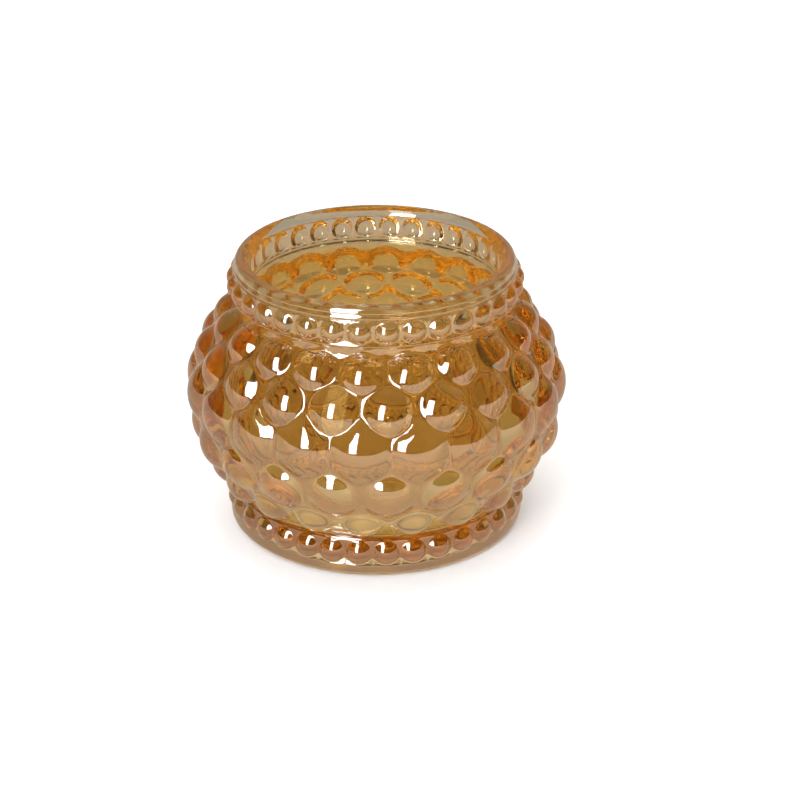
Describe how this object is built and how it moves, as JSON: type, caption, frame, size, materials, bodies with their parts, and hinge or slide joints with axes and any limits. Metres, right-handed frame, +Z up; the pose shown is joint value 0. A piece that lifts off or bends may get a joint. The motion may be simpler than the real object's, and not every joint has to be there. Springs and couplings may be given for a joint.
{
  "type": "tealight holder",
  "caption": "Round bulging glass tealight holder covered in hobnails, with a beaded collar under its lip and a beaded foot.",
  "frame": {"origin": "centre of the standing face, on the axis of the bowl", "axes": "+Z up along the axis of the bowl; the holder stands on the XY plane and its front looks along -Y"},
  "size_m": [0.063, 0.063, 0.0465],
  "materials": {
    "plain_glass": "clear amber pressed glass with a thin lustre coating, smooth and glossy",
    "raised_glass": "the same amber lustre glass, looking deeper in colour where the hobnails and beads thicken it"
  },
  "bodies": {
    "root": {"lip": "plain_glass", "collar": "plain_glass", "collar_beads": "raised_glass", "shoulder": "plain_glass", "belly": "plain_glass", "heel": "plain_glass", "floor": "plain_glass", "foot_ring": "plain_glass", "foot_beads": "raised_glass", "hobnails_row_1": "raised_glass", "hobnails_row_2": "raised_glass", "hobnails_row_3": "raised_glass", "hobnails_row_4": "raised_glass", "hobnails_row_5": "raised_glass"}
  },
  "joints": []
}
